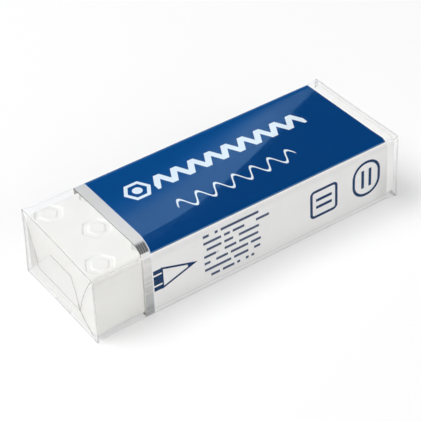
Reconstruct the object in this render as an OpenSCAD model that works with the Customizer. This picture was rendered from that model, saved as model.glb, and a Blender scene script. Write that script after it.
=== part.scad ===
// Block eraser in a printed card sleeve, sealed in a clear film overwrap.
// Millimetres. +X runs along the block, +Y from its front long side to its back, +Z up.
// The origin is on the surface that the pack lies on, under the middle of the film.

/* [Rubber block] */
// Length of the block
rubber_len = 65; // [45:0.5:90]
// Width of the block, across the printed face
rubber_w = 23; // [16:0.1:34]
// Thickness of the block
rubber_h = 13; // [10:0.1:20]
// Radius of the four long edges, which the extruded bar gives
rubber_edge_r = 1.6; // [0.8:0.1:2.5]
// Radius of the edges round the two cut ends
rubber_end_r = 0.35; // [0.15:0.05:0.6]

/* [Pressed figures] */
// Size of a figure across the corners of its hexagon
figure_d = 5.2; // [3:0.1:7]
// Width of the pressed line round a figure
figure_line = 0.7; // [0.4:0.05:1.1]
// Diameter of the round core pressed inside the hexagon
figure_core_d = 1.7; // [0.8:0.1:2]
// Depth of the pressed figures
figure_depth = 0.2; // [0.1:0.05:0.4]
// Distance between figures along the block
figure_pitch_x = 9.2; // [8:0.1:14]
// Distance between the rows of figures across the block
figure_pitch_y = 8.6; // [7.4:0.1:12]
// Distance from the left end of the block to the first figure
figure_inset = 3.6; // [3:0.1:8]

/* [Card sleeve] */
// Length of the sleeve
sleeve_len = 52.2; // [20:0.1:64]
// Bare length of the block at its left end
sleeve_inset = 10.4; // [0:0.1:12.5]
// Thickness of the card
card_t = 0.3; // [0.2:0.05:0.5]
// Play between the block and the card, at the sides and on top
card_fit = 0.1; // [0.05:0.05:0.3]
// Outer radius of the sleeve's crease along the front of the printed face
crease_front_top_r = 1.8; // [0.6:0.1:2.4]
// Outer radius of the sleeve's crease along the back of the printed face
crease_back_top_r = 0.9; // [0.6:0.1:2]
// Outer radius of the sleeve's two creases underneath
crease_bottom_r = 0.9; // [0.6:0.1:1.6]
// Height of the glued flap inside the back side
glue_flap_h = 9; // [4:0.1:10]
// Gap between the back side's lower edge and the crease below it
seam_gap = 0.3; // [0.1:0.05:0.6]

/* [Film wrap] */
// Thickness of one layer of film
film_t = 0.05; // [0.03:0.01:0.1]
// Play between the sleeve and the film at the front and back
film_side_fit = 0.15; // [0.05:0.05:0.4]
// Play between the sleeve and the film on top
film_top_fit = 0.05; // [0.05:0.05:0.3]
// Slack between the block and the film at each end
film_end_slack = 0.3; // [0.1:0.05:0.6]
// Width of the sealed lap that closes the film underneath
lap_w = 5; // [3:0.5:8]
// How far the upper end flap comes down
top_flap_h = 10.4; // [6:0.1:11]
// How far the upper end flap's lower corners lie inside the pack's sides
top_flap_inset = 4.6; // [2:0.1:6]
// How far the upper end flap's front edge is drawn in from a straight line
top_flap_bow = 0.9; // [0.2:0.1:1.5]
// How far the lower end flap goes up
bottom_flap_h = 9.6; // [6:0.1:11]
// How far the lower end flap's upper corners lie inside the pack's sides
bottom_flap_inset = 8.6; // [6:0.1:10.5]

/* [Hidden] */
$fn = 96;
past = 1;

sleeve_z = 2 * film_t;
rubber_z = sleeve_z + card_t;
sleeve_w = rubber_w + 2 * card_fit + 3 * card_t;
sleeve_h = rubber_h + card_fit + 2 * card_t;
film_w = sleeve_w + 2 * (film_side_fit + film_t);
film_h = sleeve_z + sleeve_h + film_top_fit + film_t;
film_tube_len = rubber_len + 2 * film_end_slack;
sleeve_radii = [crease_bottom_r, crease_bottom_r, crease_back_top_r, crease_front_top_r];
figure_rows = [-1, 0, 1];

// Radii of a section, in the order front bottom, back bottom, back top, front top, changed by one amount.
function grown(radii, by) = [for (r = radii) max(r + by, 0.1)];

// Centre and direction of the bend nearest to corner number i of a section.
function corner_side(i) = [i == 0 || i == 3 ? -1 : 1, i < 2 ? -1 : 1];

// Centre of the circle that passes through a and b and bulges by bow to the left of the way from a to b.
function bow_radius(a, b, bow) = (pow(norm(b - a) / 2, 2) + bow * bow) / (2 * bow);
function bow_centre(a, b, bow) =
    let (along = (b - a) / norm(b - a), left = [-along[1], along[0]])
    (a + b) / 2 - left * (bow_radius(a, b, bow) - bow);

// Turns a flat section in Y and Z into a bar along +X.
module along_x(len) {
    rotate([90, 0, 90]) linear_extrude(height = len) children();
}

// Rectangle that stands on the Y axis, with its own radius at each corner.
module rounded_section(w, h, radii) {
    difference() {
        translate([-w / 2, 0]) square([w, h]);
        for (i = [0:3]) {
            side = corner_side(i);
            r = radii[i];
            centre = [side[0] * (w / 2 - r), h / 2 + side[1] * (h / 2 - r)];
            translate(centre) difference() {
                translate([side[0] > 0 ? 0 : -r - past, side[1] > 0 ? 0 : -r - past]) square(r + past);
                circle(r);
            }
        }
    }
}

// Hexagon line round a small core: the end view of a pencil.
module pencil_end_figure() {
    difference() {
        circle(figure_d / 2, $fn = 6);
        circle(figure_d / 2 - figure_line, $fn = 6);
    }
    circle(figure_core_d / 2);
}

// Staggered rows of figures, pressed into the printed side of the bar before it was cut to length.
module pressed_figures() {
    for (row = figure_rows) {
        first = figure_inset + (row == 0 ? figure_pitch_x / 2 : 0);
        for (x = [first : figure_pitch_x : rubber_len - figure_d / 2])
            translate([x - rubber_len / 2, row * figure_pitch_y, rubber_h - figure_depth])
                linear_extrude(height = figure_depth + past) pencil_end_figure();
    }
}

// Extruded bar with rounded long edges, cut to length with barely broken end edges.
module rubber_block() {
    color("white") translate([0, -card_t / 2, rubber_z]) difference() {
        intersection() {
            translate([-rubber_len / 2, 0, 0]) along_x(rubber_len)
                rounded_section(rubber_w, rubber_h, [for (i = [0:3]) rubber_edge_r]);
            linear_extrude(height = rubber_h) translate([0, -rubber_w / 2])
                rounded_section(rubber_len, rubber_w, [for (i = [0:3]) rubber_end_r]);
            translate([0, rubber_w / 2, 0]) rotate([90, 0, 0]) linear_extrude(height = rubber_w)
                rounded_section(rubber_len, rubber_h, [for (i = [0:3]) rubber_end_r]);
        }
        pressed_figures();
    }
}

// Section of the folded card: four sides, and a flap glued up inside the back side.
module sleeve_section() {
    back = sleeve_w / 2;
    inner_w = sleeve_w - 2 * card_t;
    inner_h = sleeve_h - 2 * card_t;
    difference() {
        union() {
            difference() {
                rounded_section(sleeve_w, sleeve_h, sleeve_radii);
                translate([0, card_t]) rounded_section(inner_w, inner_h, grown(sleeve_radii, -card_t));
            }
            translate([back - 2 * card_t, card_t]) square([card_t + card_t / 2, glue_flap_h]);
        }
        translate([back - card_t, crease_bottom_r]) square([card_t + past, seam_gap]);
    }
}

module card_sleeve() {
    color("midnightblue") translate([sleeve_inset - rubber_len / 2, 0, sleeve_z])
        along_x(sleeve_len) sleeve_section();
}

// Section of the film tube, with the sealed lap inside its bottom.
module film_section() {
    radii = grown(sleeve_radii, film_side_fit + film_t);
    difference() {
        rounded_section(film_w, film_h, radii);
        translate([0, film_t]) rounded_section(film_w - 2 * film_t, film_h - 2 * film_t, grown(radii, -film_t));
    }
    translate([-lap_w / 2, film_t / 2]) square([lap_w, film_t * 3 / 2]);
}

// Upper end flap: it narrows as it comes down, and slack draws its front edge in.
module top_flap() {
    low = film_h - top_flap_h;
    side = film_w / 2;
    foot = side - top_flap_inset;
    difference() {
        polygon([[-side, film_h], [side, film_h], [foot, low], [-foot, low]]);
        translate(bow_centre([-side, film_h], [-foot, low], top_flap_bow))
            circle(bow_radius([-side, film_h], [-foot, low], top_flap_bow), $fn = 360);
    }
}

// Lower end flap: it narrows from the pack's lower corners and folds up last.
module bottom_flap() {
    side = film_w / 2;
    head = side - bottom_flap_inset;
    polygon([[-side, 0], [side, 0], [head, bottom_flap_h], [-head, bottom_flap_h]]);
}

// Keeps a flat shape within the rounded outline of the film's section.
module within_film_outline() {
    intersection() {
        rounded_section(film_w, film_h, grown(sleeve_radii, film_side_fit + film_t));
        children();
    }
}

// Closed end of the film: the tucked sides, then the upper flap over them, then the lower flap over both.
module folded_end() {
    along_x(film_t) rounded_section(film_w, film_h, grown(sleeve_radii, film_side_fit + film_t));
    along_x(2 * film_t) within_film_outline() top_flap();
    along_x(3 * film_t) within_film_outline() bottom_flap();
}

module film_wrap() {
    color([0.85, 0.9, 0.95, 0.35]) {
        translate([-film_tube_len / 2, 0, 0]) along_x(film_tube_len) film_section();
        translate([film_tube_len / 2, 0, 0]) folded_end();
        mirror([1, 0, 0]) translate([film_tube_len / 2, 0, 0]) folded_end();
    }
}

rubber_block();
card_sleeve();
film_wrap();
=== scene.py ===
import math

import bmesh
import bpy
from mathutils import Matrix, Vector, noise


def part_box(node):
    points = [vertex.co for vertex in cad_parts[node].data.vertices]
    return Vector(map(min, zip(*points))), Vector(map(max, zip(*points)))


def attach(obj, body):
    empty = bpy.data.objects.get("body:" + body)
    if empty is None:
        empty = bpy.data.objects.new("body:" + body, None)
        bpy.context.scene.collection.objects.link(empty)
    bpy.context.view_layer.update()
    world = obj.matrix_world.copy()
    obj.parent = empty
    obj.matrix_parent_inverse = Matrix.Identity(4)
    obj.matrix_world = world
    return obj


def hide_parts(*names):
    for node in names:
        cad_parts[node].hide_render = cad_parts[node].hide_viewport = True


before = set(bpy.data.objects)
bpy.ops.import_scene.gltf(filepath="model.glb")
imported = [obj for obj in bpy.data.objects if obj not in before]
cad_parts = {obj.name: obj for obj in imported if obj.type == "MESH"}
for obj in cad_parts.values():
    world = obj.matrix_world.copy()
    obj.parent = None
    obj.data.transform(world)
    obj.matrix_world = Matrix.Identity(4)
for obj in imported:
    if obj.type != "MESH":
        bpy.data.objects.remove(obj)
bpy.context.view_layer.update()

MM = 0.001

BLOCK_LOW, BLOCK_HIGH = (Vector(corner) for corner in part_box("rubber_block"))
CARD_LOW, CARD_HIGH = (Vector(corner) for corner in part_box("card_sleeve"))
FILM_LOW, FILM_HIGH = (Vector(corner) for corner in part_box("film_wrap"))

# Block of vinyl, with the sizes that the CAD has
BLOCK_EDGE_R = 1.6 * MM
BLOCK_END_R = 0.35 * MM
FIGURE_R = 2.6 * MM
FIGURE_LINE = 0.7 * MM
FIGURE_CORE_R = 0.85 * MM
FIGURE_DEPTH = 0.2 * MM
FIGURE_PITCH_X = 9.2 * MM
FIGURE_PITCH_Y = 8.6 * MM
FIGURE_INSET = 3.6 * MM

# What the pressed figures have here besides: slanted walls and softened edges
STAMP_RISE = 0.06 * MM
RING_SLANT = 0.5 * MM
CORE_SLANT_IN = 0.2 * MM
CORE_SLANT_OUT = 0.3 * MM
SOFT_EDGE = 0.09 * MM

# Card sleeve
CARD_T = 0.3 * MM
FRONT_TOP_BEND = 1.8 * MM
BACK_TOP_BEND = 0.65 * MM
LOW_BEND = 0.9 * MM
GLUE_FLAP = 9 * MM
SEAM_GAP = 0.3 * MM
CROWN = 0.25 * MM
BACK_CROWN = 0.05 * MM
CROWN_POWER = 12
CROWN_REACH = 2.2 * MM
TOP_ROOM = 0.04 * MM

# Its ends are cut a little out of square: where that starts, and how far the left one goes out at
# the front, further out at its foot and in at the back, and the right one out, more so at the front
SKEW_FROM = 15 * MM
LEFT_SKEW_LENGTH = 7.1 * MM
RIGHT_SKEW_LENGTH = 15.1 * MM
FRONT_FROM = 8 * MM
FRONT_LENGTH = 4 * MM
LEFT_FRONT_OUT = 0.45 * MM
LEFT_FOOT_OUT = 0.4 * MM
LEFT_BACK_IN = 0.28 * MM
RIGHT_OUT = 0.12 * MM
RIGHT_FRONT_OUT = 0.2 * MM

# The bare end is cut a little out of square: its top lies further in, most at the back
LEAN_START = -31.5 * MM
LEAN = 0.42 * MM
LEAN_BACK = 0.18 * MM

# Film
FILM_T = 0.035 * MM
LAP = 5 * MM
LAP_RIM = 0.15 * MM
END_ROOM = 0.05 * MM
SIDE_ROOM = 0.02 * MM
END_FOLD = 0.14 * MM
WIDE_END_FOLD = 0.45 * MM
CAP_BACK = 0.15 * MM
CAP_ROOM = 0.05 * MM
CAP_RIM = 0.06 * MM
SLACK_FROM = 30.3 * MM
SLACK_LENGTH = 2.65 * MM
END_FACE_FROM = 32.5 * MM
TUBE_END = 32.9 * MM

# How far the film gives at most: everywhere, besides over the bare vinyl, and besides next to its ends
TOP_SLACK = (0.02 * MM, 0.12 * MM, 0.2 * MM)
SIDE_SLACK = (0.02 * MM, 0.16 * MM, 0.22 * MM)
END_SLACK = 0.2 * MM

# Height of the waves in it: on the top, besides there next to the ends, on the sides and in the ends
TOP_WAVE, TOP_END_WAVE, SIDE_WAVE, END_WAVE = 0.006 * MM, 0.03 * MM, 0.04 * MM, 0.03 * MM

# Numbers of the film's four finishes, in the order in which film_wrap adds them
SHEET, CREASE, DOUBLE, FOLD = range(4)

# Outlines of the two flaps on an end, in Y and Z, millimetres, from the front edge round to the back
UPPER_FLAP = [(-12.3, 14.0), (-10.9, 12.2), (-9.2, 9.6), (-7.7, 6.6), (-6.6, 3.5),
              (7.6, 3.5), (8.5, 5.9), (10.0, 9.5), (11.3, 12.4), (12.3, 14.0)]
LOWER_FLAP = [(-12.3, -0.1), (-8.2, 2.1), (-6.6, 3.6), (-5.6, 6.5), (-4.4, 9.6), (2.8, 9.6), (12.3, -0.1)]
LOWER_FLAP_TOP = 9.6
LOWER_FLAP_RAISE = 0.04
UPPER_STEP = 0.04
LOWER_STEP = 0.05
FLAP_RIM = 0.13
TUCKED_FROM = 6

# Bends of the film: front top, back top and both low ones, and what is left of them at the ends
FILM_BENDS = (2.0 * MM, 1.1 * MM, 1.1 * MM)
END_BEND_SHARE = 0.35

# The card's printed face, in millimetres
BLUE_FOOT = 13.17
TOP_BEND_START = 13.5
BAND_END = -19.86

# Places of the generic print, in millimetres: X and Y on the top, X and Z on the front and back
DEVICE_AT = (-13.4, 3.9)
ROWS_START = -10.2
PENCIL_COLLAR = -19.1
PENCIL_AXIS = 7.4
LINES_START = -10.5
LINES_FOOT = 2.3
SQUARE_AT = (15.7, 7.2)
OVAL_AT = (25.5, 7.6)
BACK_FRAME_AT = (-13.0, 6.0)
OUTLINE = 0.27

# Floor and world
FLOOR_SIZE = 8
FLOOR_DROP = 0.03 * MM
SKY_STRENGTH = 0.012

# Camera, in degrees, millimetres and pixels of the photograph
CAMERA_TURN = -32.6152
CAMERA_RISE = 38.2922
CAMERA_ROLL = -3.5551
CAMERA_AIM = Vector((0, 0, 6.5))
CAMERA_DISTANCE = 273.8535
CAMERA_ASIDE = 0.6856
CAMERA_LOWERED = 1.0739
FOCUS_PIXELS = 1513.1016
PHOTO_PIXELS = 421
SENSOR = 36


# Hand work on meshes


def take_up(piece):
    bpy.ops.object.select_all(action="DESELECT")
    piece.select_set(True)
    bpy.context.view_layer.objects.active = piece


def settle(name):
    """Puts the newest object's place into its mesh and names it."""
    bpy.ops.object.transform_apply(location=True, rotation=True, scale=True)
    piece = bpy.context.active_object
    piece.name = piece.data.name = name
    return piece


def cut_blank(name, low, high):
    """A block of the size and place of two corners, still square."""
    bpy.ops.object.select_all(action="DESELECT")
    bpy.ops.mesh.primitive_cube_add(size=1, location=(low + high) / 2, scale=high - low)
    return settle(name)


def pick(kind, test):
    """Selects, in edit mode, what passes a test of its middle and its direction."""
    bpy.ops.mesh.select_mode(type=kind)
    bpy.ops.mesh.select_all(action="DESELECT")
    piece = bpy.context.edit_object
    form = bmesh.from_edit_mesh(piece.data)
    if kind == "EDGE":
        for edge in form.edges:
            start, end = (corner.co for corner in edge.verts)
            if test((start + end) / 2, (end - start).normalized()):
                edge.select_set(True)
    else:
        for face in form.faces:
            if test(face.calc_center_median(), face.normal):
                face.select_set(True)
    bmesh.update_edit_mesh(piece.data)


def near(value, other, within=0.02 * MM):
    return abs(value - other) < within


def round_long_edge(y, z, radius, segments):
    pick("EDGE", lambda middle, along: abs(along.x) > 0.9 and near(middle.y, y) and near(middle.z, z))
    bpy.ops.mesh.bevel(offset=radius, segments=segments, profile=0.5, affect="EDGES", clamp_overlap=False)


def cut_across(cuts, test):
    """Cuts a strip of quads across the edges that pass the test."""
    pick("EDGE", test)
    bpy.ops.mesh.subdivide(number_cuts=cuts)


def finish_with(piece, kind, **settings):
    take_up(piece)
    modifier = piece.modifiers.new(kind.title(), kind)
    for key, value in settings.items():
        setattr(modifier, key, value)
    bpy.ops.object.modifier_apply(modifier=modifier.name)


def smooth_shading(piece, degrees):
    take_up(piece)
    bpy.ops.object.shade_smooth_by_angle(angle=math.radians(degrees))


def shape_points(piece, move):
    """Moves each point of a finished sheet by a rule, as a thumb would."""
    for point in piece.data.vertices:
        point.co = move(point.co.copy())
    piece.data.update()


def leaned(point):
    """Draws the top of the bare end in, as its cut has it."""
    share = min(1.0, max(0.0, (LEAN_START - point.x) / MM))
    up = (point.z - BLOCK_LOW.z) / (BLOCK_HIGH.z - BLOCK_LOW.z)
    point.x += share * max(0.0, up) * (LEAN + LEAN_BACK * point.y / BLOCK_HIGH.y)
    return point


# Shader maths


class Wire:
    """One socket of a material, so that shader maths reads as arithmetic."""

    def __init__(self, finish, socket):
        self.finish = finish
        self.socket = socket

    def math(self, operation, *others, clamp=False):
        return self.finish.maths(operation, self, *others, clamp=clamp)

    def __add__(self, other):
        return self.math("ADD", other)

    def __radd__(self, other):
        return self.math("ADD", other)

    def __sub__(self, other):
        return self.math("SUBTRACT", other)

    def __rsub__(self, other):
        return self.finish.maths("SUBTRACT", other, self)

    def __mul__(self, other):
        return self.math("MULTIPLY", other)

    def __rmul__(self, other):
        return self.math("MULTIPLY", other)

    def __truediv__(self, other):
        return self.math("DIVIDE", other)

    def __rtruediv__(self, other):
        return self.finish.maths("DIVIDE", other, self)

    def __pow__(self, other):
        return self.math("POWER", other)

    def __abs__(self):
        return self.math("ABSOLUTE")

    def above(self, level, soft):
        """0 below a level, 1 above it, with a soft step between."""
        return self.math("MULTIPLY_ADD", 1 / soft, 0.5 - level / soft, clamp=True)

    def below(self, level, soft):
        return self.math("MULTIPLY_ADD", -1 / soft, 0.5 + level / soft, clamp=True)

    def within(self, low, high, soft):
        return self.above(low, soft) * self.below(high, soft)

    def most(self, other):
        return self.math("MAXIMUM", other)

    def least(self, other):
        return self.math("MINIMUM", other)


class Finish:
    """The nodes of one material, or of the lamp or world that it is given."""

    def __init__(self, name, holder=None):
        self.material = holder or bpy.data.materials.new(name)
        self.material.use_nodes = True
        self.tree = self.material.node_tree
        self.tree.nodes.clear()

    def node(self, kind, settings=None, sockets=None, give=0):
        """Adds a node: its settings first, then the values or links of its sockets."""
        made = self.tree.nodes.new(kind)
        for key, value in (settings or {}).items():
            setattr(made, key, value)
        for key, value in (sockets or {}).items():
            socket = made.inputs[key]
            if isinstance(value, Wire):
                self.tree.links.new(value.socket, socket)
            else:
                socket.default_value = value
        return Wire(self, made.outputs[give]) if made.outputs else made

    def maths(self, operation, *values, clamp=False):
        settings = {"operation": operation, "use_clamp": clamp}
        return self.node("ShaderNodeMath", settings, dict(enumerate(values)))

    def place(self):
        """The place on the object in millimetres, as a vector and as X, Y and Z."""
        coordinates = self.node("ShaderNodeTexCoord", give="Object")
        grown = self.node("ShaderNodeVectorMath", {"operation": "SCALE"}, {0: coordinates, "Scale": 1 / MM})
        split = self.node("ShaderNodeSeparateXYZ", sockets={0: grown})
        return grown, split, self.other(split, "Y"), self.other(split, "Z")

    def other(self, wire, output):
        """Another output of the node that a wire comes from."""
        return Wire(self, wire.socket.node.outputs[output])

    def stretched(self, vector, scale):
        return self.node("ShaderNodeVectorMath", {"operation": "MULTIPLY"}, {0: vector, 1: scale})

    def grain(self, vector, scale, detail=3.0, roughness=0.5):
        """Noise from 0 to 1, at so many cells a millimetre."""
        sockets = {"Vector": vector, "Scale": scale, "Detail": detail, "Roughness": roughness}
        return self.node("ShaderNodeTexNoise", sockets=sockets)

    def mixed(self, share, first, second):
        """The first colour at a share of 0, the second at 1."""
        settings = {"data_type": "RGBA"}
        sockets = {"Factor": share, 6: first, 7: second}
        return self.node("ShaderNodeMix", settings, sockets, give=2)

    def bumped(self, height, depth, distance):
        sockets = {"Height": height, "Strength": depth, "Distance": distance}
        return self.node("ShaderNodeBump", sockets=sockets)

    def principled(self, sockets):
        return self.node("ShaderNodeBsdfPrincipled", sockets=sockets)

    def put(self, surface):
        self.node("ShaderNodeOutputMaterial", sockets={"Surface": surface})
        return self.material


def white(level):
    return (level, level, level, 1)


# Materials


def vinyl_finish():
    """White vinyl, faintly clouded and drawn along the bar, with painted light that makes it whiter at the
    covered end.
    """
    paint = Finish("white_vinyl_block")
    place, x, *_ = paint.place()
    cloud = paint.grain(place, 0.22, 2)
    speck = paint.grain(place, 9, 2)
    colour = paint.mixed(cloud.above(0.5, 0.5), (0.835, 0.832, 0.803, 1), (0.87, 0.867, 0.84, 1))
    colour = paint.mixed(speck.above(0.72, 0.06) * 0.25, colour, (0.79, 0.79, 0.76, 1))
    # Painted light: the vinyl is painted whiter at the covered end
    colour = paint.mixed(x.above(29.9, 1.2) * 0.95, colour, (0.97, 0.968, 0.95, 1))
    drag = paint.grain(paint.stretched(place, (0.6, 5, 5)), 1.0, 3)
    skin = paint.grain(place, 4.5, 4, 0.6)
    return paint.put(paint.principled({
        "Base Color": colour,
        "Roughness": 0.42 + skin * 0.22,
        "Specular IOR Level": 0.2,
        "Subsurface Weight": 0.2,
        "Subsurface Radius": (0.5 * MM, 0.48 * MM, 0.43 * MM),
        "Subsurface Scale": 1.0,
        "Normal": paint.bumped(drag * 0.35 + skin * 0.4, 0.35, 0.03 * MM),
    }))


def rounded_frame(u, v, centre, half, radius):
    """Distance from the outline of a rounded rectangle, negative inside it."""
    du = abs(u - centre[0]) - (half[0] - radius)
    dv = abs(v - centre[1]) - (half[1] - radius)
    outside = (du.most(0) ** 2 + dv.most(0) ** 2) ** 0.5
    return outside + du.most(dv).least(0) - radius


def hexagon(u, v, centre, apothem):
    """Distance from the outline of a hexagon that stands on a flat side."""
    du = abs(u - centre[0])
    dv = abs(v - centre[1])
    return dv.most(du * 0.866 + dv * 0.5) - apothem


def ruled(distance):
    """The drawn outline just inside a shape, from the distance to its edge."""
    return abs(distance + OUTLINE).below(0.29, 0.06)


def top_print(x, y):
    """Generic print on the top: a hexagon device, a heavy zigzag row and a light wave row."""
    ring = abs(hexagon(x, y, DEVICE_AT, 2.05)).below(0.34, 0.06)
    core = rounded_frame(x, y, DEVICE_AT, (0.95, 0.95), 0.94).below(0, 0.06)
    swing = ((x - ROWS_START) / 3.667).math("PINGPONG", 0.5) * 2
    heavy = abs(y - 2.0 - swing * 3.6).below(1.3, 0.12)
    heavy = heavy * y.within(1.9, 5.7, 0.06) * x.within(ROWS_START, 22.8, 0.06)
    roll = ((x - ROWS_START) * (2 * math.pi / 3.9)).math("SINE")
    light = abs(y + 4.3 - roll * 1.5).below(0.34, 0.1) * x.within(-10.3, 15.2, 0.06)
    return ring.most(core).most(heavy).most(light)


def pencil_print(x, z):
    """A pencil's point, next to the silver band on the front."""
    along = (x - PENCIL_COLLAR) / 7.2
    across = abs(z - PENCIL_AXIS)
    cone = across - (1 - along) * 2.3
    wood = abs(cone + 0.2).below(0.22, 0.07) * x.within(-19.3, -11.9, 0.06)
    lead = cone.below(0, 0.07) * x.within(-13.9, -11.9, 0.07)
    collar = abs(x + 19.0).below(0.2, 0.07)
    lacquer = across.below(2.25, 0.08) * x.within(-20.9, -18.9, 0.08)
    flute = abs(across - 1.15).below(0.17, 0.07) * (1 - collar)
    return wood.most(lead).most(lacquer * (1 - flute))


def side_print(paint, x, y, z):
    """Generic print on the front and back: a pencil, lines of small marks, and plain frames with bars."""
    row = (z - LINES_FOOT) / 1.48
    level = row.math("FLOOR")
    word = ((x - LINES_START) / 0.62).math("FLOOR")
    cell = paint.node("ShaderNodeCombineXYZ", sockets={0: word, 1: level, 2: 0.0})
    inked = paint.node("ShaderNodeTexWhiteNoise", {"noise_dimensions": "2D"}, {"Vector": cell})
    length = paint.node("ShaderNodeTexWhiteNoise", {"noise_dimensions": "1D"}, {"W": level + 20})
    dash = (row - level).within(0.22, 0.58, 0.12)

    lines = dash * inked.below(0.8, 0.01) * x.above(LINES_START, 0.06)
    lines = lines * (x - length * 4.4).below(0, 0.06) * z.within(LINES_FOOT, 12.6, 0.02)
    square = ruled(rounded_frame(x, z, SQUARE_AT, (3.1, 3.1), 1.0))
    oval = ruled(rounded_frame(x, z, OVAL_AT, (3.2, 3.9), 3.1))
    square_bars = x.within(13.9, 17.5, 0.06) * abs(abs(z - SQUARE_AT[1]) - 0.8).below(0.32, 0.06)
    oval_bars = abs(abs(x - OVAL_AT[0]) - 0.85).below(0.32, 0.06) * z.within(5.6, 9.6, 0.06)
    front = pencil_print(x, z).most(lines * 0.95)
    for mark in (square, oval, square_bars, oval_bars):
        front = front.most(mark)

    back = dash * inked.above(0.22, 0.01) * x.within(-6.9, 17.4, 0.06) * z.within(LINES_FOOT, 9.7, 0.02)
    back = back.most(ruled(rounded_frame(x, z, BACK_FRAME_AT, (2.7, 3.4), 0.9)))
    return (front * y.below(-11.5, 0.2)).most(back * y.above(11.5, 0.2))


def print_finish():
    """Printed card: blue on top, pale at the sides, and a silver foil band at the bare end."""
    paint = Finish("printed_card_face")
    place, x, y, z = paint.place()
    grain = paint.grain(place, 0.45, 2)

    # Blue over the top and round both upper bends, up to the band and a pale line beside it
    on_top = z.above(BLUE_FOOT, 0.09)
    on_front = y.below(-10.5, 0.1)
    frontward = (-6.5 - y).most(0)
    down = (TOP_BEND_START - z).most(0)
    ahead = x - BAND_END + (frontward ** 1.5) * 0.085 + down * 0.02
    band = ahead.below(0.0, 0.08)
    pale_line = abs(ahead - 0.1).below(0.08, 0.08)

    blue = paint.mixed(grain, (0.0, 0.045, 0.185, 1), (0.0, 0.05, 0.2, 1))
    pale = paint.mixed(grain, (0.85, 0.845, 0.84, 1), (0.89, 0.885, 0.88, 1))
    # Painted shade: the pale front greys towards its far lower corner
    painted_shade_far_corner = x.above(28.3, 2.6) * z.below(8.4, 5.0) * y.below(-11.5, 0.2)
    pale = paint.mixed(painted_shade_far_corner * 0.32, pale, (0.55, 0.545, 0.535, 1))
    top_colour = paint.mixed(top_print(x, y), blue, (0.77, 0.86, 0.92, 1))
    side_colour = paint.mixed(side_print(paint, x, y, z), pale, (0.0, 0.032, 0.115, 1))
    face = paint.mixed(on_top, side_colour, top_colour)
    face = paint.mixed(pale_line * 0.9, face, (0.82, 0.86, 0.9, 1))

    # Painted highlights along the two upper creases and below the blue on the front, and painted light and
    # shade on the bend along the foot
    front_crease_highlight = abs(z - 13.27).below(0.05, 0.05) * on_front * 0.4
    back_crease_highlight = abs(y - 11.3).below(0.1, 0.08) * z.above(13.4, 0.05) * 0.22
    face = paint.mixed(front_crease_highlight.most(back_crease_highlight), face, (0.2, 0.45, 0.75, 1))
    # Painted highlight: a white line just below the blue on the front
    face = paint.mixed(z.within(12.98, 13.1, 0.06) * on_front * 0.7, face, white(0.97))
    # Painted reflection: the foot's bend is painted lighter, with a painted dark line of shade where the
    # bend starts
    face = paint.mixed(z.below(1.42, 0.08) * 0.8, face, white(0.95))
    face = paint.mixed(abs(z - 1.46).below(0.06, 0.08) * 0.4, face, white(0.3))

    # Silver foil band: fine lines on top, a painted dark striped reflection and a painted highlight at the
    # bend, brushed on the sides, with painted shade towards their foot
    ripples = (ahead * (2 * math.pi / 0.43)).math("SINE")
    stripe = ripples.above(0.2, 1.2)
    # Painted reflection: the foil is darkened where the top starts to bend
    painted_dark_reflection = y.below(-8.5, 0.9) * z.above(TOP_BEND_START, 0.1)
    # Painted highlight: a bright strip lower in the bend
    painted_highlight_strip = z.within(12.8, TOP_BEND_START, 0.1)
    upright = z.below(12.4, 0.5)
    brushed = paint.grain(paint.stretched(place, (0.05, 2.2, 2.2)), 1.8, 3)
    foil = paint.mixed(y.above(1.0, 9.0), (0.79, 0.78, 0.755, 1), (0.71, 0.7, 0.68, 1))
    foil = paint.mixed(stripe * (1 - upright) * 0.5, foil, (0.5, 0.515, 0.51, 1))
    foil = paint.mixed(painted_highlight_strip * 0.8, foil, (0.93, 0.92, 0.93, 1))
    foil = paint.mixed(painted_dark_reflection * 0.95, foil, paint.mixed(stripe, (0.21, 0.22, 0.22, 1), white(0.05)))
    # Painted shade: the sides darken towards their foot
    foil = paint.mixed(upright * (down / 13) * 0.95, foil, (0.27, 0.28, 0.29, 1))
    foil = paint.mixed(brushed.above(0.52, 0.12) * upright * 0.3, foil, (0.9, 0.91, 0.92, 1))

    # The print is glossy on the top, less so towards the covered end, and the foil isn't coated
    scuff = paint.grain(place, 0.7, 4)
    height = grain * 0.1 + band * ripples * 0.35 + band * brushed * 0.4
    return paint.put(paint.principled({
        "Base Color": paint.mixed(band, face, foil),
        "Metallic": band * (0.12 + upright * 0.7),
        "Roughness": 0.32 + scuff * 0.1 + band * brushed * 0.1,
        "Specular IOR Level": 0.05,
        "Coat Weight": on_top * (1 - band) * (1 - x.above(19.5, 8.0) * 0.48),
        "Coat Roughness": 0.01,
        "Normal": paint.bumped(height, 0.25, 0.02 * MM),
    }))


def core_finish():
    """The card's inside and its cut edges. The top one at the bare end lies in shade."""
    paint = Finish("card_core")
    place, x, _, z = paint.place()
    fibre = paint.grain(paint.stretched(place, (3, 3, 9)), 1.2, 4, 0.65)
    colour = paint.mixed(fibre, (0.76, 0.745, 0.71, 1), (0.9, 0.89, 0.865, 1))
    shaded = x.below(-21, 0.5) * z.above(13.1, 0.3)
    colour = paint.mixed(shaded, colour, (0.4, 0.4, 0.39, 1))
    return paint.put(paint.principled({
        "Base Color": colour,
        "Roughness": 0.82 + fibre * 0.1,
        "Normal": paint.bumped(fibre, 0.5, 0.05 * MM),
    }))


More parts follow.
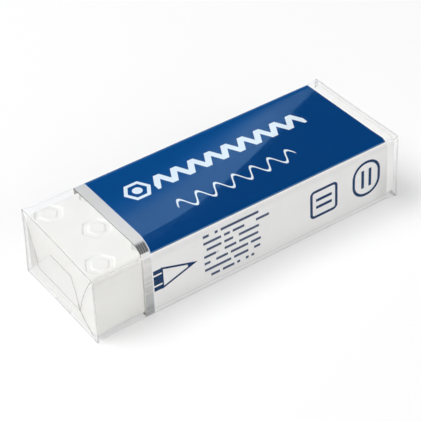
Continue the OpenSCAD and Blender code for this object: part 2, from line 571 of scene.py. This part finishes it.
def film_finish(name, haze, shade):
    """Clear film: it mirrors more at a glancing view, and its creases are clouded by the haze."""
    paint = Finish(name)
    place, x, *_ = paint.place()
    facing = paint.node("ShaderNodeLayerWeight", sockets={"Blend": 0.5}, give="Facing")
    gloss = 0.003 + (facing ** 5) * 0.85
    ripple = paint.grain(paint.stretched(place, (0.35, 1, 1)), 0.3, 2)
    fine = paint.grain(place, 1.6, 3)
    near_end = abs(x).above(30.6, 4.0)
    pucker = paint.grain(paint.stretched(place, (0.35, 1.2, 1.2)), 0.6, 2)
    height = ripple * 0.14 + fine * 0.006 + near_end * pucker * 0.5
    share = (gloss + haze).least(1)
    shine = paint.principled({
        "Base Color": (shade, shade, shade, 1),
        "Metallic": gloss / (gloss + haze),
        "Roughness": 0.03 + fine * 0.03 + haze * 0.3,
        "Normal": paint.bumped(height, 0.4, 0.1 * MM),
    })
    clear = paint.node("ShaderNodeBsdfTransparent", sockets={"Color": (1, 1, 1, 1)})
    return paint.put(paint.node("ShaderNodeMixShader", sockets={0: share, 1: clear, 2: shine}))


# Pieces


def figure_stamp():
    """A hexagon ring round a round core, wider upwards: what presses one figure."""
    rise = FIGURE_DEPTH + STAMP_RISE
    place = (0, 0, BLOCK_HIGH.z - FIGURE_DEPTH + rise / 2)
    bpy.ops.object.select_all(action="DESELECT")
    bpy.ops.mesh.primitive_cylinder_add(vertices=6, radius=FIGURE_R, depth=rise, location=place,
                                        rotation=(0, 0, math.radians(30)))
    ring = settle("stamp_ring")
    bpy.ops.object.mode_set(mode="EDIT")
    pick("FACE", lambda middle, normal: abs(normal.z) > 0.9)
    bpy.ops.mesh.inset(thickness=FIGURE_LINE * math.cos(math.radians(30)), depth=0)
    bpy.ops.mesh.bridge_edge_loops()
    bpy.ops.object.mode_set(mode="OBJECT")

    def slanted(point):
        if point.z > BLOCK_HIGH.z:
            reach = math.hypot(point.x, point.y)
            inner = reach < FIGURE_R - FIGURE_LINE / 2
            factor = (reach + (-1 if inner else 1) * RING_SLANT) / reach
            point.x, point.y = point.x * factor, point.y * factor
        return point

    shape_points(ring, slanted)
    bpy.ops.object.select_all(action="DESELECT")
    bpy.ops.mesh.primitive_cone_add(vertices=32, radius1=FIGURE_CORE_R - CORE_SLANT_IN,
                                    radius2=FIGURE_CORE_R + CORE_SLANT_OUT, depth=rise, location=place)
    settle("stamp_core")
    ring.select_set(True)
    bpy.ops.object.join()
    return bpy.context.active_object


def vinyl_block():
    block = cut_blank("vinyl_block", BLOCK_LOW, BLOCK_HIGH)
    bpy.ops.object.mode_set(mode="EDIT")
    pick("EDGE", lambda middle, along: abs(along.x) > 0.9)
    bpy.ops.mesh.bevel(offset=BLOCK_EDGE_R, segments=12, profile=0.5, affect="EDGES", clamp_overlap=False)
    ends = (BLOCK_LOW.x, BLOCK_HIGH.x)
    pick("EDGE", lambda middle, along: min(abs(middle.x - end) for end in ends) < 0.02 * MM)
    bpy.ops.mesh.bevel(offset=BLOCK_END_R, segments=4, profile=0.5, affect="EDGES", clamp_overlap=False)
    bpy.ops.object.mode_set(mode="OBJECT")

    middle_y = (BLOCK_LOW.y + BLOCK_HIGH.y) / 2
    pattern = figure_stamp()
    stamps = []
    for row in (-1, 0, 1):
        x = FIGURE_INSET + (FIGURE_PITCH_X / 2 if row == 0 else 0)
        while x <= BLOCK_HIGH.x - BLOCK_LOW.x - FIGURE_R:
            stamp = pattern.copy()
            stamp.data = pattern.data.copy()
            bpy.context.collection.objects.link(stamp)
            stamp.data.transform(Matrix.Translation((BLOCK_LOW.x + x, middle_y + row * FIGURE_PITCH_Y, 0)))
            stamps.append(stamp)
            x += FIGURE_PITCH_X
    bpy.data.objects.remove(pattern)
    take_up(stamps[0])
    for stamp in stamps:
        stamp.select_set(True)
    bpy.ops.object.join()
    press = bpy.context.active_object
    finish_with(block, "BOOLEAN", operation="DIFFERENCE", solver="EXACT", object=press)
    bpy.data.objects.remove(press)
    finish_with(block, "BEVEL", width=SOFT_EDGE, segments=3, limit_method="ANGLE",
                angle_limit=math.radians(30), harden_normals=False, use_clamp_overlap=True)
    shape_points(block, leaned)
    smooth_shading(block, 35)
    finish_with(block, "WEIGHTED_NORMAL", weight=100, keep_sharp=True)
    block.data.materials.append(vinyl_finish())
    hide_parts("rubber_block")
    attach(block, "root")
    return block


def folded_card(point):
    """The printed top is fullest along its middle, and both ends are cut a little out of square."""
    left_end = min(1.0, max(0.0, (-SKEW_FROM - point.x) / LEFT_SKEW_LENGTH))
    frontward = min(1.0, max(0.0, (-point.y - FRONT_FROM) / FRONT_LENGTH))
    down = min(1.0, max(0.0, (CARD_HIGH.z - point.z) / (CARD_HIGH.z - CARD_LOW.z)))
    point.x -= left_end * frontward * (LEFT_FRONT_OUT + LEFT_FOOT_OUT * down)
    point.x += left_end * (1 - frontward) * LEFT_BACK_IN
    right_end = max(0.0, point.x - SKEW_FROM) / RIGHT_SKEW_LENGTH
    point.x += right_end * (RIGHT_OUT + RIGHT_FRONT_OUT * frontward)
    if point.z > CARD_HIGH.z - CROWN_REACH:
        drop = CROWN if point.y < 0 else BACK_CROWN
        point.z -= TOP_ROOM + drop * (abs(point.y) / CARD_HIGH.y) ** CROWN_POWER
    return point


def card_sleeve():
    sleeve = cut_blank("sleeve_card", CARD_LOW, CARD_HIGH)
    front, back = CARD_LOW.y, CARD_HIGH.y
    floor, top = CARD_LOW.z, CARD_HIGH.z
    bpy.ops.object.mode_set(mode="EDIT")
    pick("FACE", lambda middle, normal: abs(normal.x) > 0.9)
    bpy.ops.mesh.delete(type="FACE")
    round_long_edge(front, top, FRONT_TOP_BEND, 14)
    round_long_edge(back, top, BACK_TOP_BEND, 6)
    round_long_edge(front, floor, LOW_BEND, 8)
    round_long_edge(back, floor, LOW_BEND, 8)
    cut_across(52, lambda middle, along: abs(along.x) > 0.9)
    cut_across(24, lambda middle, along: abs(along.y) > 0.9 and near(middle.z, top))
    bpy.ops.mesh.select_all(action="SELECT")
    bpy.ops.mesh.bisect(plane_co=(0, 0, floor + LOW_BEND + SEAM_GAP), plane_no=(0, 0, 1))
    seam = (floor + LOW_BEND, floor + LOW_BEND + SEAM_GAP)
    pick("FACE", lambda middle, normal: near(middle.y, back) and seam[0] < middle.z < seam[1])
    bpy.ops.mesh.delete(type="FACE")
    pick("EDGE", lambda middle, along: abs(along.x) > 0.9 and near(middle.y, back)
         and near(middle.z, seam[0]))
    bpy.ops.mesh.extrude_region_move(TRANSFORM_OT_translate={"value": (0, -CARD_T - 0.01 * MM, 0.1 * MM)})
    bpy.ops.mesh.extrude_region_move(TRANSFORM_OT_translate={"value": (0, 0, GLUE_FLAP - LOW_BEND)})
    bpy.ops.object.mode_set(mode="OBJECT")
    shape_points(sleeve, folded_card)
    sleeve.data.materials.append(print_finish())
    sleeve.data.materials.append(core_finish())
    finish_with(sleeve, "SOLIDIFY", thickness=CARD_T, offset=-1, use_even_offset=True,
                material_offset=1, material_offset_rim=1)
    smooth_shading(sleeve, 40)
    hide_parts("card_sleeve")
    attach(sleeve, "root")
    return sleeve


def end_pull(y, z):
    """How far the end of the film gives inwards between its corners."""
    across = y / FILM_HIGH.y
    up = (z - FILM_HIGH.z / 2) / (FILM_HIGH.z / 2)
    wave = noise.noise(Vector((3, y * 160, z * 160)))
    return END_SLACK * (1 - 0.6 * across ** 2 - 0.4 * up ** 2) + END_WAVE * wave


def drawn_corner(y, z, share):
    """Draws a point of a rounded corner out, to where that corner's radius is a share of what it was."""
    front_top, back_top, low_bend = FILM_BENDS
    radius = low_bend if z < FILM_HIGH.z / 2 else front_top if y < 0 else back_top
    side = math.copysign(1, y)
    rise = 1 if z > FILM_HIGH.z / 2 else -1
    corner = Vector((side * FILM_HIGH.y, FILM_HIGH.z if rise > 0 else 0.0))
    centre = corner - radius * Vector((side, rise))
    arm = Vector((y, z)) - centre
    if arm.x * side <= 0 or arm.y * rise <= 0:
        return y, z
    return corner - share * (radius * Vector((side, rise)) - arm)


def film_slack(point):
    """Where a point of the tight film comes to lie: it gives between the corners that hold it out."""
    x, y, z = point
    half_y, half_z = FILM_HIGH.y, FILM_HIGH.z / 2
    across, up = y / half_y, (z - half_z) / half_z
    at_end = max(0.0, (abs(x) - SLACK_FROM) / SLACK_LENGTH)
    y, z = drawn_corner(y, z, 1 - (1 - END_BEND_SHARE) * at_end)
    bare = 0.0
    if x < CARD_LOW.x:
        bare = math.sin(math.pi * max(0.0, x + TUBE_END) / (TUBE_END + CARD_LOW.x))
    wave = noise.noise(Vector((x * 90, y * 150 + 7, z * 150)))
    on_top = max(0.0, (up - 0.7) / 0.3) ** 2
    everywhere, over_vinyl, next_to_end = TOP_SLACK
    sag = everywhere + bare * over_vinyl * (1 - across ** 4) + at_end * next_to_end * (1 - across ** 2)
    z -= on_top * (sag + (TOP_WAVE + TOP_END_WAVE * at_end) * wave)
    on_side = max(0.0, (abs(across) - 0.85) / 0.15) ** 2
    everywhere, over_vinyl, next_to_end = SIDE_SLACK
    give = everywhere + bare * over_vinyl * (1 - up ** 4) + at_end * next_to_end * (1 - up ** 2)
    y -= math.copysign(on_side * (give + SIDE_WAVE * abs(wave)), y)
    if abs(x) > END_FACE_FROM:
        x -= math.copysign(max(end_pull(y, z), 0), x)
    return Vector((x, y, z))


def tube_finish(middle, turned, end):
    """Which of the film's finishes a face of the tube has: it is clouded at its folds and along its lap."""
    if turned.z < -0.9 and abs(middle.y) < LAP / 2:
        return CREASE if abs(middle.y) > LAP / 2 - LAP_RIM else DOUBLE
    end_fold = WIDE_END_FOLD if middle.x > 0 or abs(turned.y) > 0.7 else END_FOLD
    low_fold = abs(turned.y) > 0.55 and turned.z < -0.7
    if low_fold or abs(middle.x) > end - end_fold:
        return FOLD
    bare = middle.x < CARD_LOW.x or middle.x > CARD_HIGH.x
    return DOUBLE if bare and abs(turned.y) > 0.7 and turned.z > 0.55 else SHEET


def film_tube():
    """The sheet round the pack, open at its ends, with the sealed lap underneath."""
    low = FILM_LOW + Vector((END_ROOM, SIDE_ROOM, 0))
    high = FILM_HIGH - Vector((END_ROOM, SIDE_ROOM, 0))
    film = cut_blank("film_overwrap", low, high)
    bpy.ops.object.mode_set(mode="EDIT")
    pick("FACE", lambda middle, normal: abs(normal.x) > 0.9)
    bpy.ops.mesh.delete(type="ONLY_FACE")
    round_long_edge(low.y, high.z, FILM_BENDS[0], 8)
    round_long_edge(high.y, high.z, FILM_BENDS[1], 6)
    round_long_edge(low.y, low.z, FILM_BENDS[2], 6)
    round_long_edge(high.y, low.z, FILM_BENDS[2], 6)
    cut_across(30, lambda middle, along: abs(along.y) > 0.9
               and (near(middle.z, low.z) or near(middle.z, high.z)))
    cut_across(16, lambda middle, along: abs(along.z) > 0.9
               and (near(middle.y, low.y) or near(middle.y, high.y)))
    cut_across(110, lambda middle, along: abs(along.x) > 0.9)
    for side in (-1, 1):
        for width in (END_FOLD, WIDE_END_FOLD):
            bpy.ops.mesh.select_all(action="SELECT")
            bpy.ops.mesh.bisect(plane_co=(side * (high.x - width), 0, 0), plane_no=(1, 0, 0))
    for y in (-LAP / 2, LAP_RIM - LAP / 2, LAP / 2 - LAP_RIM, LAP / 2):
        pick("FACE", lambda middle, normal: normal.z < -0.9)
        bpy.ops.mesh.bisect(plane_co=(0, y, 0), plane_no=(0, 1, 0))
    pick("FACE", lambda middle, normal: normal.z < -0.9 and abs(middle.y) < LAP / 2)
    bpy.ops.mesh.extrude_region_move(TRANSFORM_OT_translate={"value": (0, 0, FILM_T / 2)})
    bpy.ops.object.mode_set(mode="OBJECT")
    for face in film.data.polygons:
        face.material_index = tube_finish(face.center, face.normal, high.x)
    shape_points(film, film_slack)
    finish_with(film, "SOLIDIFY", thickness=FILM_T, offset=-1, use_even_offset=False)
    return film


def outline_at(z):
    """The film's front and back edge at a height, inside the bends at its ends."""
    front_top, back_top, low_bend = (END_BEND_SHARE * bend for bend in FILM_BENDS)

    def drawn(radius, off):
        return radius - math.sqrt(max(0.0, radius ** 2 - (radius - off) ** 2)) if off < radius else 0.0

    off_top, off_low = FILM_HIGH.z - z, z - FILM_LOW.z
    front = max(drawn(front_top, off_top), drawn(low_bend, off_low))
    back = max(drawn(back_top, off_top), drawn(low_bend, off_low))
    return FILM_LOW.y + front, FILM_HIGH.y - back


def fold_lines(outline):
    """The free edges of a flap, as pairs of points. The edge along its fold isn't one of them."""
    return list(zip(outline, outline[1:]))


def inside(outline, y, z):
    """True if a point in millimetres lies in a flap's outline."""
    hits = 0
    for (y0, z0), (y1, z1) in zip(outline, outline[1:] + outline[:1]):
        if (z0 > z) != (z1 > z) and y < y0 + (z - z0) * (y1 - y0) / (z1 - z0):
            hits += 1
    return hits % 2 == 1


def off_line(line, y, z):
    """Distance in millimetres from a point to a fold line."""
    (y0, z0), (y1, z1) = line
    along = Vector((y1 - y0, z1 - z0))
    share = max(0.0, min(1.0, Vector((y - y0, z - z0)).dot(along) / along.length_squared))
    return math.hypot(y - y0 - share * along.x, z - z0 - share * along.y)


def cap_finish(middle, turned, low, high):
    """Which of the film's finishes a face of an end has: edges show as creases, and layers cloud it."""
    y, z = middle.y / MM, middle.z / MM
    front, back = outline_at(middle.z)
    to_edge = min(middle.y - front, back - middle.y, middle.z - low, high - middle.z)
    if abs(turned.x) < 0.5 or to_edge < CAP_RIM:
        return CREASE
    flaps = [flap for flap in (UPPER_FLAP, LOWER_FLAP) if inside(flap, y, z)]
    if any(off_line(line, y, z) < FLAP_RIM for flap in flaps for line in fold_lines(flap)):
        return CREASE
    if LOWER_FLAP in flaps:
        return DOUBLE
    return FOLD if not flaps and y > TUCKED_FROM else SHEET


def end_cap(end):
    """One closed end of the film: the upper flap lies over the tucked sides, the lower one over both."""
    columns, rows = 30, 20
    bpy.ops.object.select_all(action="DESELECT")
    bpy.ops.mesh.primitive_grid_add(x_subdivisions=columns, y_subdivisions=rows, size=2)
    cap = settle("film_end_cap")
    low, high = FILM_LOW.z + CAP_ROOM, FILM_HIGH.z - CAP_ROOM

    def spread(share):
        return 0.5 - 0.5 * math.cos(math.pi * share)

    def laid(point):
        z = low + (high - low) * spread((point.y + 1) / 2)
        front, back = outline_at(z)
        y = front + (back - front) * spread((point.x + 1) / 2)
        return Vector((0, y, z))

    shape_points(cap, laid)
    folds = fold_lines(UPPER_FLAP) + fold_lines(LOWER_FLAP)
    take_up(cap)
    bpy.ops.object.mode_set(mode="EDIT")
    for (y0, z0), (y1, z1) in folds:
        across = Vector((0, z1 - z0, y0 - y1)).normalized()
        for off in (0, -FLAP_RIM):
            bpy.ops.mesh.select_all(action="SELECT")
            place = (Vector((0, y0, z0)) + across * off) * MM
            bpy.ops.mesh.bisect(plane_co=place, plane_no=across)
    for outline, step in ((UPPER_FLAP, UPPER_STEP), (LOWER_FLAP, LOWER_STEP)):
        pick("FACE", lambda middle, normal: inside(outline, middle.y / MM, middle.z / MM))
        bpy.ops.mesh.extrude_region_move(TRANSFORM_OT_translate={"value": (step * MM, 0, 0)})
    bpy.ops.object.mode_set(mode="OBJECT")
    for face in cap.data.polygons:
        face.material_index = cap_finish(face.center, face.normal, low, high)

    def pulled(point):
        on_lower_flap = point.x > (UPPER_STEP + LOWER_STEP) / 2 * MM
        raised = LOWER_FLAP_RAISE * point.z / LOWER_FLAP_TOP if on_lower_flap else 0
        x = FILM_HIGH.x - CAP_BACK - end_pull(point.y, point.z) + point.x + raised
        return Vector((end * x, point.y, point.z))

    shape_points(cap, pulled)
    if end < 0:
        for face in cap.data.polygons:
            face.flip()
        cap.data.update()
    finish_with(cap, "SOLIDIFY", thickness=FILM_T, offset=-1, use_even_offset=False)
    return cap


def held_in(point):
    """Keeps a point of the film within the CAD's box."""
    return Vector(max(low, min(high, value)) for low, value, high in zip(FILM_LOW, point, FILM_HIGH))


def film_wrap():
    film = film_tube()
    caps = [end_cap(1), end_cap(-1)]
    finishes = [
        film_finish("clear_film_sheet", 0.0007, 0.97),
        film_finish("clear_film_crease", 0.36, 0.45),
        film_finish("clear_film_double", 0.16, 0.97),
        film_finish("clear_film_fold", 0.14, 0.66),
    ]
    for sheet in (film, *caps):
        for finish in finishes:
            sheet.data.materials.append(finish)
    take_up(film)
    for cap in caps:
        cap.select_set(True)
    bpy.ops.object.join()
    shape_points(film, leaned)
    shape_points(film, held_in)
    smooth_shading(film, 60)
    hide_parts("film_wrap")
    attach(film, "root")
    return film


# Setting


def studio_floor():
    """White floor, a hair below the film so that the two don't meet.

    Half of it glows, but only for the camera and in what mirrors it or shows it through.
    """
    bpy.ops.object.select_all(action="DESELECT")
    bpy.ops.mesh.primitive_plane_add(size=FLOOR_SIZE, location=(0, 0, -FLOOR_DROP))
    floor = settle("studio_floor")
    paint = Finish("studio_floor_white")
    rays = paint.node("ShaderNodeLightPath", give="Is Camera Ray")
    seen = rays.most(paint.other(rays, "Is Transmission Ray")).most(paint.other(rays, "Is Glossy Ray"))
    lit = paint.node("ShaderNodeBsdfDiffuse", sockets={"Color": white(0.95)})
    glow = paint.node("ShaderNodeEmission", sockets={"Color": white(1), "Strength": 1.0})
    mixed = paint.node("ShaderNodeMixShader", sockets={0: seen * 0.5, 1: lit, 2: glow})
    floor.data.materials.append(paint.put(mixed))


def softbox(name, place, aim, size, power, shape="RECTANGLE"):
    lamp = bpy.data.lights.new(name, "AREA")
    lamp.shape = shape
    lamp.size, lamp.size_y = size
    lamp.energy = power
    holder = bpy.data.objects.new(name, lamp)
    bpy.context.collection.objects.link(holder)
    holder.location = place
    holder.rotation_euler = (Vector(aim) - Vector(place)).to_track_quat("-Z", "Y").to_euler()
    return holder


def bright_rim(lamp):
    """Makes a round lamp brightest at its rim, from where it falls off inwards."""
    glow = Finish(lamp.name, lamp)
    across = glow.node("ShaderNodeNewGeometry", give="Parametric")
    split = glow.node("ShaderNodeSeparateXYZ", sockets={0: across})
    reach = (((split - 0.5) ** 2 + (glow.other(split, 1) - 0.5) ** 2) ** 0.5) * 2
    near_rim = reach.above(0.93, 0.06)
    colour = glow.mixed(near_rim * near_rim, (0.0, 0.32, 1.0, 1), (0.33, 0.63, 1.0, 1))
    light = glow.node("ShaderNodeEmission", sockets={"Color": colour, "Strength": 0.42 + near_rim * 0.58})
    glow.node("ShaderNodeOutputLight", sockets={"Surface": light})


def studio_light():
    """Soft light from behind, from the front and weakly at the bare end, and a disk for glossy surfaces."""
    middle = Vector((0, 0, 6 * MM))
    softbox("key_softbox", middle + Vector((-0.42, 0.3, 0.86)), middle, (0.7, 0.7), 11.4)
    softbox("front_softbox", middle + Vector((0.04, -0.92, 0.42)), middle, (1.6, 0.5), 5.7)
    softbox("end_softbox", middle + Vector((-1.0, -0.12, 0.24)), middle, (0.5, 0.5), 0.5)
    disk = softbox("back_disk", (0.291, 0.915, 0.291), (-0.093, 0.315, -0.272), (0.86, 0.86), 2.5, "DISK")
    bright_rim(disk.data)
    disk.visible_diffuse = False
    bpy.context.scene.world = bpy.context.scene.world or bpy.data.worlds.new("studio")
    sky = Finish("studio", bpy.context.scene.world)
    dim = sky.node("ShaderNodeBackground", sockets={"Color": white(1), "Strength": SKY_STRENGTH})
    sky.node("ShaderNodeOutputWorld", sockets={"Surface": dim})
    bpy.context.scene.view_settings.view_transform = "Standard"


def studio_camera():
    """The camera that a fit to the photograph's corners gives: where it stands, and which way is up."""
    turn, rise, roll = (math.radians(angle) for angle in (CAMERA_TURN, CAMERA_RISE, CAMERA_ROLL))
    away = Vector((math.sin(turn) * math.cos(rise), -math.cos(turn) * math.cos(rise), math.sin(rise)))
    level = Vector((math.cos(turn), math.sin(turn), 0))
    upward = away.cross(level)
    right = level * math.cos(roll) + upward * math.sin(roll)
    up = upward * math.cos(roll) - level * math.sin(roll)
    place = CAMERA_AIM + CAMERA_DISTANCE * away - CAMERA_ASIDE * right - CAMERA_LOWERED * up
    lens = bpy.data.cameras.new("studio_camera")
    lens.sensor_width = SENSOR
    lens.lens = FOCUS_PIXELS / PHOTO_PIXELS * SENSOR
    lens.clip_start = 0.01
    camera = bpy.data.objects.new("studio_camera", lens)
    bpy.context.collection.objects.link(camera)
    camera.matrix_world = Matrix((right, up, away)).transposed().to_4x4()
    camera.location = place * MM
    bpy.context.scene.camera = camera


studio_camera()
studio_floor()
studio_light()
vinyl_block()
card_sleeve()
film_wrap()
